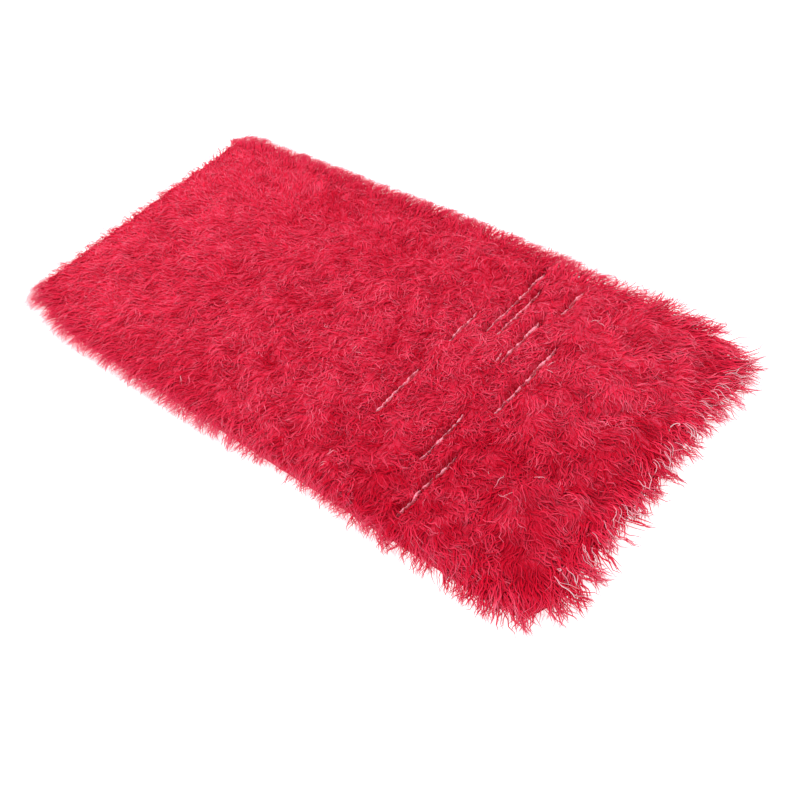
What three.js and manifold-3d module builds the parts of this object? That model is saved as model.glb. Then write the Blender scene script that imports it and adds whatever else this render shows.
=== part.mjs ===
// A shag rug of hand-woven wool, lying flat on a floor. A pale ground cloth carries rows of long red locks,
// which lie as one lumpy mass and spill past the cloth on every side. Along some of the rows the pile lies
// apart and leaves the cloth bare. At the right-hand end the warp stands out of the cloth in short pale ends.
// Millimetres: X runs along the rug, Y across it and Z up from the floor, with the origin under the middle.

import * as THREE from "three";
import { mergeGeometries, mergeVertices } from "three/addons/utils/BufferGeometryUtils.js";
import Module from "manifold-3d";

// Driving dimensions.
const RUG_LENGTH = 1400; // from tip to tip of the locks
const RUG_WIDTH = 700;
const LOCK_REACH = 32; // how far the longest locks stand out of the mass of the pile
const GROUND_THICKNESS = 3;
const GROUND_INSET = 14; // from the rim of the pile's mass to the edge of the cloth under it
const GAP = 0.3; // between pieces that lie on each other
const LOCK_COUNT = 188; // locks round the rim, one for each row of pile along the sides
const YARN = 3; // thickness of a warp end

// How far each corner is drawn in along the rug and across it, counter-clockwise from the left near one.
const CORNERS = [
  { name: "left near", x: -1, y: -1, alongX: 260, alongY: 75 },
  { name: "right near", x: 1, y: -1, alongX: 70, alongY: 60 },
  { name: "right far", x: 1, y: 1, alongX: 180, alongY: 90 },
  { name: "left far", x: -1, y: 1, alongX: 100, alongY: 35 },
];

// The far side is woven narrower from the middle of the rug to its right-hand end.
const NARROWING = { by: 16, from: 0, to: 450 };

// The rim of the pile's mass from its foot up: how far in, how high, and how much the lumps add or take.
const PILE_RINGS = [
  { inset: 6, height: 0, lump: 0 },
  { inset: 0, height: 5, lump: 0 },
  { inset: 4, height: 13, lump: 2 },
  { inset: 14, height: 20, lump: 4 },
  { inset: 34, height: 26, lump: 6 },
];
const PILE_HEIGHT = 30; // inside the rim
const PILE_LUMP = 8; // how far the lumps rise and sink there
const LUMP_SIZES = [19, 52];
const RIM_WAVER = 4; // how far the rim of the mass strays in and out

// Between these rows the pile lies low, with only this share of its height, so that the partings open.
const LOW_STRETCH = { from: 205, to: 440, fade: 75, share: 0.6 };

// How many parts the mass of the pile is made of along the rug and across it.
const PARTS_ALONG = 46;
const PARTS_ACROSS = 21;

// Where the pile lies apart along a row: the row, where the bare stretch starts and ends, and its width.
const PARTINGS = [
  { x: -150, from: -322, to: -284, width: 5 },
  { x: 78, from: 288, to: 324, width: 4 },
  { x: 212, from: 52, to: 142, width: 6 },
  { x: 212, from: -154, to: -34, width: 6 },
  { x: 212, from: -312, to: -268, width: 4 },
  { x: 257, from: 106, to: 318, width: 4 },
  { x: 280, from: 112, to: 250, width: 4 },
  { x: 328, from: 60, to: 178, width: 6 },
  { x: 351, from: 218, to: 290, width: 5 },
  { x: 351, from: -192, to: -76, width: 5 },
  { x: 394, from: -42, to: 140, width: 6 },
  { x: 394, from: -314, to: -212, width: 5 },
  { x: 442, from: 232, to: 262, width: 5 },
];
const PARTING_TOP = 44; // over all the lumps
const PARTING_FLARE = 72; // how much wider a parting is there than at the cloth
const PARTING_RUNOUT = 24; // how much further it runs there at each end, at most
const PARTING_STRAY = 2; // how far a parting strays from its row

// A lock from its root in the mass to its tip: how far out as a share of its reach, and its size.
const LOCK_STEPS = [
  { out: -0.45, width: 15, height: 13 },
  { out: 0.4, width: 10, height: 8 },
  { out: 1, width: 2, height: 2 },
];
const LOCK_SECTION = [
  { across: 0.5, up: 0 },
  { across: 0, up: 1 },
  { across: -0.5, up: 0 },
];
const COMBED = 0.5; // radians that the locks lean to one side in waves round the rim
const CURLED = 0.45; // radians that a lock may turn between its root and its tip
const SHORTEST = 0.72; // share of the reach
// A short place in the near side, where the pile parts at the rim.
const NOTCH = { x: 145, width: 16, share: 0.7 };

// Warp ends lie on the floor between the locks of the right-hand end, in this pattern of kept and missing ones.
const WARP_KEPT = [true, true, false, true, true, true, false, true];
const WARP_STEPS = [
  { out: 2, width: YARN, turn: 0 },
  { out: 16, width: YARN, turn: 0.1 },
  { out: 27, width: YARN, turn: 0.35 },
  { out: 37, width: 2, turn: -0.2 },
];
const YARN_SECTION = [
  { across: 0.5, up: 0 },
  { across: 0.5, up: 1 },
  { across: -0.5, up: 1 },
  { across: -0.5, up: 0 },
];
const STRIP_WIDTH = 5; // the closing edge that holds the warp ends
const END_CLEARANCE = 8; // how far past the mass the pile of the right-hand end stays above the warp ends
const CLOTH_END = RUG_LENGTH / 2 - LOCK_REACH - GROUND_INSET;

const COLOURS = {
  pile: { color: 0xcf2b4a, roughness: 0.9, metalness: 0 },
  ground: { color: 0xe6c3c3, roughness: 0.95, metalness: 0 },
  warp: { color: 0xf0dada, roughness: 0.9, metalness: 0 },
};

const wasm = await Module();
wasm.setup();

// A repeatable source of numbers between 0 and 1.
function seeded(seed) {
  let state = seed;
  return () => {
    state = (Math.imul(state, 1664525) + 1013904223) >>> 0;
    return state / 4294967296;
  };
}

// A smooth unevenness between -1 and 1, with hills about twice `size` apart.
function unevenness(x, y, size) {
  const u = x / size;
  const v = y / size;
  const along = Math.sin(1.6 * u + 1.3 * Math.sin(1.1 * v + 0.4));
  const across = Math.sin(1.5 * v + 1.5 * Math.sin(0.9 * u + 1.2));
  return (along + across) / 2;
}

function geometryFrom(points, faces) {
  const geometry = new THREE.BufferGeometry();
  const positions = points.flatMap((point) => point.toArray());
  geometry.setAttribute("position", new THREE.Float32BufferAttribute(positions, 3));
  geometry.setIndex(faces);
  return geometry;
}

// A closed geometry through rings of equally many points, each ring counter-clockwise when seen from the end
// that the rings run towards. The ends are closed by strips that run across them, or the last is left open.
function loft(rings, open = false) {
  const count = rings[0].length;
  const faces = [];
  rings.slice(1).forEach((_, r) => {
    for (let i = 0; i < count; i++) {
      const a = r * count + i;
      const b = r * count + ((i + 1) % count);
      faces.push(a, b, b + count, a, b + count, a + count);
    }
  });
  const last = (rings.length - 1) * count;
  for (let i = 0, j = count - 1; i + 1 < j; i++, j--) {
    const strip = i + 1 < j - 1 ? [i, i + 1, j, i + 1, j - 1, j] : [i, i + 1, j];
    faces.push(...strip.toReversed());
    if (!open) faces.push(...strip.map((k) => last + k));
  }
  return geometryFrom(rings.flat(), faces);
}

function solidOf(geometry) {
  const merged = mergeVertices(geometry, 1e-4);
  return new wasm.Manifold(
    new wasm.Mesh({
      numProp: 3,
      vertProperties: merged.getAttribute("position").array,
      triVerts: new Uint32Array(merged.index.array),
    }),
  );
}

function geometryOf(solid) {
  const { vertProperties, triVerts } = solid.getMesh();
  const geometry = new THREE.BufferGeometry();
  geometry.setAttribute("position", new THREE.BufferAttribute(vertProperties, 3));
  geometry.setIndex(new THREE.BufferAttribute(triVerts, 1));
  geometry.computeVertexNormals();
  return geometry;
}

// Draws the far half of the rug in by the narrowing of its far side.
function narrowed(point, halfWidth) {
  if (point.y <= 0) return point;
  const share = THREE.MathUtils.smoothstep(point.x, NARROWING.from, NARROWING.to);
  return new THREE.Vector2(point.x, point.y * (1 - (share * NARROWING.by) / halfWidth));
}

// The four sides of the rug's outline, this far inside the rim of the pile's mass, counter-clockwise from the
// near one, each from the middle of one corner to the middle of the next.
function sides(inset) {
  const fullWidth = RUG_WIDTH / 2 - LOCK_REACH;
  const halfLength = RUG_LENGTH / 2 - LOCK_REACH - inset;
  const halfWidth = fullWidth - inset;
  const shrink = halfWidth / fullWidth;
  const arc = (i, from, to) => {
    const { x, y, alongX, alongY } = CORNERS[i % 4];
    const start = Math.PI * (1 + i / 2);
    return new THREE.EllipseCurve(
      x * (halfLength - alongX * shrink),
      y * (halfWidth - alongY * shrink),
      alongX * shrink,
      alongY * shrink,
      start + from,
      start + to,
    );
  };
  return CORNERS.map((_, i) => {
    const path = new THREE.CurvePath();
    const leaving = arc(i, Math.PI / 4, Math.PI / 2);
    const arriving = arc(i + 1, 0, Math.PI / 4);
    path.add(leaving);
    path.add(new THREE.LineCurve(leaving.getPoint(1), arriving.getPoint(0)));
    path.add(arriving);
    const points = path.getSpacedPoints(i % 2 ? PARTS_ACROSS : PARTS_ALONG);
    return points.map((point) => narrowed(point, halfWidth));
  });
}

function outline(inset) {
  return sides(inset).flatMap((points) => points.slice(0, -1));
}

// A flat sheet between two heights, with the rug's outline at an inset.
function sheet(inset, bottom, top) {
  return loft([bottom, top].map((z) => outline(inset).map(({ x, y }) => new THREE.Vector3(x, y, z))));
}

function lumps(x, y) {
  return unevenness(x, y, LUMP_SIZES[0]) + 0.6 * unevenness(y, x, LUMP_SIZES[1]);
}

// The share of its height that the pile has at a row.
function standing(x) {
  const { from, to, fade, share } = LOW_STRETCH;
  const { smoothstep, lerp } = THREE.MathUtils;
  return lerp(1, share, smoothstep(x, from - fade, from) * (1 - smoothstep(x, to, to + fade)));
}

// The mass of the pile: rings from its foot up over the rim, and a net of lumps that closes it inside them.
function pileMass() {
  const rings = PILE_RINGS.map(({ inset, height, lump }) => {
    const ring = outline(inset);
    return ring.map(({ x, y }, i) => {
      const before = ring[(i + ring.length - 1) % ring.length];
      const after = ring[(i + 1) % ring.length];
      const tangent = new THREE.Vector2().subVectors(after, before).normalize();
      const stray = RIM_WAVER * unevenness(x, y, 38) * Math.max(0, 1 - inset / 40);
      return new THREE.Vector3(x + tangent.y * stray, y - tangent.x * stray, height + lump * lumps(x, y));
    });
  });
  const edge = rings.at(-1);
  const [near, right, far] = [0, PARTS_ALONG, PARTS_ALONG + PARTS_ACROSS];
  const left = far + PARTS_ALONG;
  const net = [];
  for (let j = 0; j <= PARTS_ACROSS; j++) {
    for (let i = 0; i <= PARTS_ALONG; i++) {
      const u = i / PARTS_ALONG;
      const v = j / PARTS_ACROSS;
      const onEdge = (k) => edge[k % edge.length];
      const point = new THREE.Vector3()
        .addScaledVector(onEdge(near + i), 1 - v)
        .addScaledVector(onEdge(far + PARTS_ALONG - i), v)
        .addScaledVector(onEdge(left + PARTS_ACROSS - j), 1 - u)
        .addScaledVector(onEdge(right + j), u)
        .addScaledVector(onEdge(near), -(1 - u) * (1 - v))
        .addScaledVector(onEdge(right), -u * (1 - v))
        .addScaledVector(onEdge(far), -u * v)
        .addScaledVector(onEdge(left), -(1 - u) * v);
      const inside = i > 0 && i < PARTS_ALONG && j > 0 && j < PARTS_ACROSS;
      if (inside) point.z = standing(point.x) * (PILE_HEIGHT + PILE_LUMP * lumps(point.x, point.y));
      net.push(point);
    }
  }
  const faces = [];
  for (let j = 0; j < PARTS_ACROSS; j++) {
    for (let i = 0; i < PARTS_ALONG; i++) {
      const a = j * (PARTS_ALONG + 1) + i;
      const b = a + PARTS_ALONG + 1;
      faces.push(a, a + 1, b + 1, a, b + 1, b);
    }
  }
  return mergeGeometries([loft(rings, true), geometryFrom(net, faces)]);
}

// A cutter for one parting: a long lens in plan, wider and longer at the top of the pile than at the cloth.
function partingCutter({ x, from, to, width }) {
  const steps = 4;
  const runout = Math.min(PARTING_RUNOUT, (to - from) / 3);
  const lens = (halfWidth, longer, z) =>
    Array.from({ length: 2 * steps }, (_, i) => {
      const share = (i <= steps ? i : 2 * steps - i) / steps;
      const side = i < steps ? 1 : -1;
      const y = THREE.MathUtils.lerp(from - longer, to + longer, share);
      const stray = PARTING_STRAY * unevenness(x, y, 30);
      return new THREE.Vector3(x + stray + side * halfWidth * Math.sin(Math.PI * share) ** 0.6, y, z);
    });
  return loft([
    lens(width / 2, 0, GROUND_THICKNESS / 2),
    lens(width / 2, 0, GROUND_THICKNESS + GAP),
    lens((width + PARTING_FLARE) / 2, runout, PARTING_TOP),
  ]);
}

// One strand that lies on its flat side, through places of {x, y, z, heading, width, height}.
function strand(places, section) {
  return loft(
    places.map(({ x, y, z, heading, width, height }) =>
      section.map(({ across, up }) => {
        const side = across * width;
        return new THREE.Vector3(x - Math.sin(heading) * side, y + Math.cos(heading) * side, z + up * height);
      }),
    ),
  );
}

// Where a strand leaves the rim, at a share of the way round it, and which way it is combed there.
function rimPlace(rim, share) {
  const { x, y } = rim.getPointAt((share + 1) % 1);
  const tangent = rim.getTangentAt((share + 1) % 1);
  const outwards = Math.atan2(-tangent.x, tangent.y);
  const atRightEnd = x > 0 && Math.abs(outwards) < 0.35;
  return { x, y, atRightEnd, heading: outwards + COMBED * unevenness(x, y, 60) };
}

function makeLock(place, random) {
  const notch = place.y < 0 ? NOTCH.share * Math.exp(-(((place.x - NOTCH.x) / NOTCH.width) ** 2)) : 0;
  const reach = LOCK_REACH * THREE.MathUtils.lerp(SHORTEST, 1, random()) * (1 - notch);
  const curl = CURLED * (2 * random() - 1);
  const heading = place.heading + 0.2 * (2 * random() - 1);
  let { x, y } = place;
  let out = 0;
  const onWarp = place.atRightEnd ? YARN + GAP : 0;
  const places = LOCK_STEPS.map((step) => {
    const turned = heading + curl * Math.max(0, step.out);
    x += Math.cos(turned) * (step.out - out) * reach;
    y += Math.sin(turned) * (step.out - out) * reach;
    out = step.out;
    return { x, y, z: onWarp, heading: turned, width: step.width, height: step.height };
  });
  return strand(places, LOCK_SECTION);
}

function makeWarpEnd(place) {
  let x = CLOTH_END;
  let { y } = place;
  let gone = 0;
  const places = WARP_STEPS.map(({ out, width, turn }, i) => {
    const heading = i < 2 ? 0 : place.heading * 0.8 + turn;
    x += Math.cos(heading) * (out - gone);
    y += Math.sin(heading) * (out - gone);
    gone = out;
    return { x, y, z: 0, heading, width, height: width };
  });
  return strand(places, YARN_SECTION);
}

function box(low, high) {
  const size = new THREE.Vector3().subVectors(high, low);
  return new THREE.BoxGeometry(size.x, size.y, size.z)
    .translate((low.x + high.x) / 2, (low.y + high.y) / 2, (low.z + high.z) / 2)
    .deleteAttribute("normal")
    .deleteAttribute("uv");
}

function makeGroundCloth() {
  return geometryOf(solidOf(sheet(GROUND_INSET, 0, GROUND_THICKNESS)));
}

// The places of the warp ends, halfway between the locks of the right-hand end.
function warpPlaces(rim) {
  const between = Array.from({ length: LOCK_COUNT }, (_, i) => {
    const neighbours = [i, i + 1].map((k) => rimPlace(rim, k / LOCK_COUNT));
    return { ...rimPlace(rim, (i + 0.5) / LOCK_COUNT), atRightEnd: neighbours.every((p) => p.atRightEnd) };
  });
  return between.filter((p) => p.atRightEnd).filter((_, i) => WARP_KEPT[i % WARP_KEPT.length]);
}

// The strip between the edge of the cloth and the rim of the pile that the warp ends leave from.
function stripBox(places, margin, top) {
  const ys = places.map(({ y }) => y);
  return {
    low: new THREE.Vector3(CLOTH_END + GAP, Math.min(...ys) - YARN - margin, 0),
    high: new THREE.Vector3(CLOTH_END + GAP + STRIP_WIDTH, Math.max(...ys) + YARN + margin, top),
  };
}

function makeWarpEnds(places) {
  const { low, high } = stripBox(places, 0, YARN);
  const strands = places.map((place) => solidOf(makeWarpEnd(place)));
  return geometryOf(strands.reduce((whole, end) => whole.add(end), solidOf(box(low, high))));
}

function makePile(rim, warp) {
  const random = seeded(41);
  let pile = solidOf(pileMass());
  for (let i = 0; i < LOCK_COUNT; i++)
    pile = pile.add(solidOf(makeLock(rimPlace(rim, (i + 0.12 * (random() - 0.5)) / LOCK_COUNT), random)));
  const overCloth = sheet(GROUND_INSET - GAP, -1, GROUND_THICKNESS + GAP);
  const { low, high } = stripBox(warp, 1, YARN + GAP);
  const overWarp = box(
    low.setZ(-1).setX(low.x - STRIP_WIDTH),
    high.setX(RUG_LENGTH / 2 - LOCK_REACH + END_CLEARANCE),
  );
  const cutters = [overCloth, overWarp, ...PARTINGS.map(partingCutter)];
  return geometryOf(cutters.reduce((whole, cutter) => whole.subtract(solidOf(cutter)), pile).simplify(0.05));
}

const rim = new THREE.CatmullRomCurve3(
  outline(0).map(({ x, y }) => new THREE.Vector3(x, y, 0)),
  true,
);
rim.arcLengthDivisions = 1200;
const warp = warpPlaces(rim);

const pieces = [
  { name: "ground_cloth", geometry: makeGroundCloth(), look: COLOURS.ground },
  { name: "shag_pile", geometry: makePile(rim, warp), look: COLOURS.pile },
  { name: "warp_ends", geometry: makeWarpEnds(warp), look: COLOURS.warp },
];

const rug = new THREE.Group();
rug.name = "shag_rug";
for (const { name, geometry, look } of pieces) {
  const mesh = new THREE.Mesh(geometry, new THREE.MeshStandardMaterial(look));
  mesh.name = name;
  rug.add(mesh);
}

export default rug;
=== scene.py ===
# %% [markdown]
# # A red long-pile wool rug
# The rug is one hand-woven cloth of pale wool, with rows of long curly locks laid in as it grows.
# The locks are dyed crimson. They lie over each other in a thick uneven layer, spill past the cloth
# on every side and lie apart along some rows, where the pale ground shows. At one end the warp
# stands out of the cloth in short pale ends.
#
# This lesson dresses the solid model of that rug. It starts by loading the solids as a fixed frame,
# and every size here is in metres, in the frame's own axes: X along the rug, Y across it and Z up
# from the floor.

# %% The frame
import math

import bmesh
import bpy
import numpy as np
from mathutils import Matrix, Vector


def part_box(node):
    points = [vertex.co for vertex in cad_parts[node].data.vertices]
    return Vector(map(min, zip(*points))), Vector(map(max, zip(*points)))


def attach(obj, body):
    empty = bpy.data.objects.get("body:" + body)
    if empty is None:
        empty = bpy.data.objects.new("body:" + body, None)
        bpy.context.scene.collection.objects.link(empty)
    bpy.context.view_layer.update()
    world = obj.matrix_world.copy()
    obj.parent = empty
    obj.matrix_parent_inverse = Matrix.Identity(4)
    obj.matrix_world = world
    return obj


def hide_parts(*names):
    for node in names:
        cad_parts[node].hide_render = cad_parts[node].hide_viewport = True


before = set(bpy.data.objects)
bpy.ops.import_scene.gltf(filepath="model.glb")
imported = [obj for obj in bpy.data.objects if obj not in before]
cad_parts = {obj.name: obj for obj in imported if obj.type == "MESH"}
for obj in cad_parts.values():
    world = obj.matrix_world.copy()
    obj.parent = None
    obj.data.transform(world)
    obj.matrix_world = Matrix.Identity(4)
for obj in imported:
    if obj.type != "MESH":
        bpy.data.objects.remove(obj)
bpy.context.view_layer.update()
_, cloth_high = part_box("ground_cloth")
_, pile_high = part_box("shag_pile")
print(f"cloth up to {1000 * cloth_high.z:.1f} mm and pile up to {1000 * pile_high.z:.1f} mm")

# %% [markdown]
# ## The camera
# The photograph was taken from a standing person's height, over the right-hand near corner, with
# the camera tilted a little to one side. A camera is set by where it stands, the direction that it
# looks back along, and which way is right for it. The three directions are the columns of its
# matrix, so they can be written down directly, which keeps the tilt that a "look at" constraint
# would lose.

# %% The camera
EYE = Vector((1.18199, -0.86513, 1.28816))
LOOK_BACK = Vector((0.538752, -0.429172, 0.724954))
RIGHT_HAND = Vector((0.742884, 0.647854, -0.168548))
LENS_MM = 44.675

camera_data = bpy.data.cameras.new("camera")
camera_data.lens = LENS_MM
camera_data.sensor_width = 36
camera = bpy.data.objects.new("camera", camera_data)
bpy.context.collection.objects.link(camera)
turn = Matrix((RIGHT_HAND, LOOK_BACK.cross(RIGHT_HAND), LOOK_BACK)).transposed()
camera.matrix_world = Matrix.Translation(EYE) @ turn.to_4x4()
bpy.context.scene.camera = camera
print(f"camera {EYE.length:.2f} m from the middle of the rug")

# %% [markdown]
# ## Light and floor
# The rug lies on white paper in soft studio light, so its shadows are faint and the paper is pure
# white. Much of the light comes from a white sky all round. One large lamp, overhead and a little
# to the left, gives the pile its relief. The paper is grey and glows a little, so that it is white
# in the picture but throws less light up between the locks. The Standard view keeps the red as
# strong as it was mixed, where a film-like view would wash it out.

# %% Light and floor
SKY_STRENGTH = 0.92
LAMP_WATTS = 36
LAMP_PLACE = Vector((-0.4, -0.15, 2.5))
LAMP_SIZE = 1.2
PAPER_REACH = 8
PAPER_DROP = 0.0006  # how far the paper lies under the rug, so that they never share a plane
PAPER_GREY = 0.62
PAPER_GLOW = 0.78

scene = bpy.context.scene
scene.view_settings.view_transform = "Standard"
world = bpy.data.worlds.new("white studio")
world.use_nodes = True
world.node_tree.nodes["Background"].inputs["Color"].default_value = (1, 1, 1, 1)
world.node_tree.nodes["Background"].inputs["Strength"].default_value = SKY_STRENGTH
scene.world = world

lamp_data = bpy.data.lights.new("large lamp", "AREA")
lamp_data.energy = LAMP_WATTS
lamp_data.size = LAMP_SIZE
lamp = bpy.data.objects.new("large lamp", lamp_data)
lamp.location = LAMP_PLACE
lamp.rotation_euler = (-LAMP_PLACE).to_track_quat("-Z", "Y").to_euler()
bpy.context.collection.objects.link(lamp)


def matt(name, colour, roughness=0.9):
    """A material with its Principled shader, to start from."""
    material = bpy.data.materials.new(name)
    material.use_nodes = True
    shader = material.node_tree.nodes["Principled BSDF"]
    shader.inputs["Base Color"].default_value = (*colour, 1)
    shader.inputs["Roughness"].default_value = roughness
    shader.inputs["Specular IOR Level"].default_value = 0
    return material


def mesh_piece(name, points, faces, material):
    """A piece from an array of points and a list of faces, smooth and with one material."""
    mesh = bpy.data.meshes.new(name)
    mesh.from_pydata([tuple(point) for point in points], [], [tuple(face) for face in faces])
    mesh.materials.append(material)
    mesh.shade_smooth()
    piece = bpy.data.objects.new(name, mesh)
    bpy.context.collection.objects.link(piece)
    return piece


paper_corners = [(-1, -1), (1, -1), (1, 1), (-1, 1)]
paper = mesh_piece(
    "paper_floor",
    [(PAPER_REACH * x, PAPER_REACH * y, -PAPER_DROP) for x, y in paper_corners],
    [(0, 1, 2, 3)],
    matt("white paper", (PAPER_GREY,) * 3),
)
paper_shader = paper.data.materials[0].node_tree.nodes["Principled BSDF"]
paper_shader.inputs["Emission Color"].default_value = (1, 1, 1, 1)
paper_shader.inputs["Emission Strength"].default_value = PAPER_GLOW
print(f"sky {SKY_STRENGTH}, lamp {LAMP_WATTS} W at {tuple(LAMP_PLACE)}")

# %% [markdown]
# ## The plan of the rug
# The rug is a rectangle whose corners are worn round by different amounts. Everything that follows
# asks how far a point is inside the rim of the pile, so that is written once, as a function that
# works on whole arrays. In a corner it is measured to a quarter of an ellipse, and elsewhere to the
# nearest straight side. The far side is woven narrower towards the right, so the far half is
# stretched back before it is measured.

# %% The plan of the rug
MM = 0.001
LOCK_REACH = 32 * MM  # from the rim of the pile's mass to the tips of the locks
HALF_LENGTH = 0.7 - LOCK_REACH
HALF_WIDTH = 0.35 - LOCK_REACH
CORNERS = [
    # side along X, side along Y, drawn in along the rug, drawn in across it
    (-1, -1, 260 * MM, 75 * MM),
    (1, -1, 70 * MM, 60 * MM),
    (1, 1, 180 * MM, 90 * MM),
    (-1, 1, 100 * MM, 35 * MM),
]
NARROWING = 16 * MM
NARROWED_AT = 450 * MM


def smoothstep(value, start, end):
    """0 up to the start, 1 from the end on, and a smooth rise between them."""
    share = np.clip((value - start) / (end - start), 0, 1)
    return share * share * (3 - 2 * share)


def narrowed(x):
    """The share that the far half of the rug keeps of its width at x."""
    return 1 - smoothstep(x, 0, NARROWED_AT) * NARROWING / HALF_WIDTH


def inset_of(x, y):
    """How far points lie inside the rim of the pile's mass."""
    y = np.where(y > 0, y / narrowed(x), y)
    inset = np.minimum(HALF_LENGTH - abs(x), HALF_WIDTH - abs(y))
    for side_x, side_y, along, across in CORNERS:
        u = (x * side_x - HALF_LENGTH + along) / along
        v = (y * side_y - HALF_WIDTH + across) / across
        reach = np.hypot(u, v) + 1e-9
        slope = np.hypot(u / along, v / across) + 1e-9
        inset = np.where((u > 0) & (v > 0), (1 - reach) * reach / slope, inset)
    return inset


print("the middle is", round(float(inset_of(np.array(0.0), np.array(0.0))), 3), "m inside the rim")

# %% [markdown]
# ## How high the pile lies
# A mass of wool isn't level. It swells over its own rim and lies in lumps, low where the rows part.
# One function gives its height anywhere. Where the pile lies apart, the height falls towards the
# bare cloth as a valley does, and the lowest of all heights wins. The partings are a table of rows,
# because that is how they come about: the locks of two neighbouring rows fall to opposite sides.

# %% How high the pile lies
CLOTH_TOP = cloth_high.z
SWELL = 20 * MM  # how far the wool swells past the rim of the mass
RIM_INSETS = [-SWELL - 1 * MM, -SWELL, -12 * MM, 0, 16 * MM, 34 * MM, 60 * MM]
RIM_HEIGHTS = [0, 6 * MM, 12 * MM, 18 * MM, 23 * MM, 27 * MM, 29 * MM]
LUMP = 8 * MM
LOW_STRETCH = (130 * MM, 205 * MM, 440 * MM, 515 * MM)
LOW_SHARE = 0.6
PARTINGS = [
    # where the row is along the rug, where it starts and ends across it, and its width
    (212 * MM, 52 * MM, 142 * MM, 6 * MM),
    (212 * MM, -154 * MM, -34 * MM, 6 * MM),
    (257 * MM, 106 * MM, 300 * MM, 4 * MM),
    (280 * MM, 112 * MM, 250 * MM, 4 * MM),
    (328 * MM, 60 * MM, 178 * MM, 6 * MM),
    (351 * MM, 218 * MM, 290 * MM, 5 * MM),
    (351 * MM, -192 * MM, -76 * MM, 5 * MM),
    (394 * MM, -42 * MM, 140 * MM, 6 * MM),
    (394 * MM, -303 * MM, -212 * MM, 5 * MM),
    (398 * MM, -205 * MM, -155 * MM, 3 * MM),
    (318 * MM, 54 * MM, 78 * MM, 3 * MM),
]
VALLEY_SLOPES = (2.6, 1.3)  # on the left-hand side of a parting, and on the right-hand side


def unevenness(x, y, size):
    """Smooth hills and hollows between -1 and 1, about twice the size apart."""
    u = x / size
    v = y / size
    along = np.sin(1.6 * u + 1.3 * np.sin(1.1 * v + 0.4))
    across = np.sin(1.5 * v + 1.5 * np.sin(0.9 * u + 1.2))
    return (along + across) / 2


def stray(y):
    """How far the rows wander along the rug."""
    return 1.8 * MM * unevenness(y, y * 0.3, 12 * MM)


def off_parting(x, y, parting):
    """How far points lie from the bare strip of one parting, and on which side of it."""
    row, start, end, width = parting
    off = x - row - stray(y)
    beside = np.maximum(abs(off) - width / 2, 0)
    beyond = np.maximum(np.maximum(start - y, y - end), 0)
    return np.hypot(beside, beyond), off


def pile_height(x, y):
    """How high the pile lies at each point."""
    start, low_start, low_end, end = LOW_STRETCH
    low = smoothstep(x, start, low_start) * (1 - smoothstep(x, low_end, end))
    inset = inset_of(x, y)
    lumps = unevenness(x, y, 19 * MM) + 0.6 * unevenness(y, x, 52 * MM)
    swell = np.clip(inset / (34 * MM), 0, 1) * LUMP
    share = 1 - (1 - LOW_SHARE) * low * np.clip(inset / (50 * MM), 0, 1)
    height = share * (np.interp(inset, RIM_INSETS, RIM_HEIGHTS) + swell * lumps)
    for parting in PARTINGS:
        away, off = off_parting(x, y, parting)
        height = np.minimum(height, CLOTH_TOP + MM + np.where(off < 0, *VALLEY_SLOPES) * away)
    return height


heights = pile_height(*np.meshgrid(np.linspace(-0.6, 0.6, 61), np.linspace(-0.25, 0.25, 26)))
print(f"the pile is {heights.min() / MM:.0f} to {heights.max() / MM:.0f} mm high inside its rim")

# %% [markdown]
# ## The ground cloth
# Under the pile lies a plain weave of thick undyed yarn. It shows only as slits between the locks
# and from underneath. A flat slab with the cloth's own outline gives its edge, and the weave is
# drawn by its material, because the yarns are 4 mm apart and nearly all of them are hidden. The
# slab is a grid of columns, each as long as the outline allows there, so that its edge needs no
# trimming.

# %% A grid with the rug's outline
def edge_of(x, side, inset):
    """How far the outline at an inset stands from the centre line at x, on the near or the far side."""
    half_length = HALF_LENGTH - inset
    half_width = HALF_WIDTH - inset
    shrink = half_width / HALF_WIDTH
    edge = np.full_like(x, half_width)
    for side_x, side_y, along, across in CORNERS:
        if side_y != side:
            continue
        u = np.clip((x * side_x - half_length + along * shrink) / (along * shrink), 0, 1)
        edge = edge - across * shrink * (1 - np.sqrt(1 - u * u))
    return side * edge * (narrowed(x) if side > 0 else 1)


def rug_grid(columns, rows, inset):
    """The points of a grid that fills the outline at an inset, as two arrays of rows by columns."""
    low = edge_of(columns, -1, inset)
    high = edge_of(columns, 1, inset)
    share = rows[:, None]
    return np.broadcast_to(columns, (len(rows), len(columns))), low + (high - low) * share


def slab(x, y, top, bottom, kept):
    """Points and faces of a closed slab over the cells of a grid that are kept, holes and all."""
    count_rows, count_columns = x.shape
    upper = np.stack([x, y, top], axis=-1).reshape(-1, 3)
    lower = np.stack([x, y, bottom], axis=-1).reshape(-1, 3)
    index = np.arange(count_rows * count_columns).reshape(count_rows, count_columns)
    cells = np.stack([index[:-1, :-1], index[:-1, 1:], index[1:, 1:], index[1:, :-1]], axis=-1)[kept]
    edges = np.stack([cells, np.roll(cells, -1, axis=1)], axis=-1).reshape(-1, 2)
    reversed_edges = {tuple(edge) for edge in edges[:, ::-1].tolist()}
    rim = [edge for edge in edges.tolist() if tuple(edge) not in reversed_edges]
    shift = len(upper)
    walls = [(b, a, a + shift, b + shift) for a, b in rim]
    faces = cells.tolist() + (cells[:, ::-1] + shift).tolist() + walls
    return np.concatenate([upper, lower]), faces


def tidy(piece):
    """Drops the points that no face uses."""
    work = bmesh.new()
    work.from_mesh(piece.data)
    bmesh.ops.delete(work, geom=[v for v in work.verts if not v.link_faces], context="VERTS")
    work.to_mesh(piece.data)
    work.free()


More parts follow.
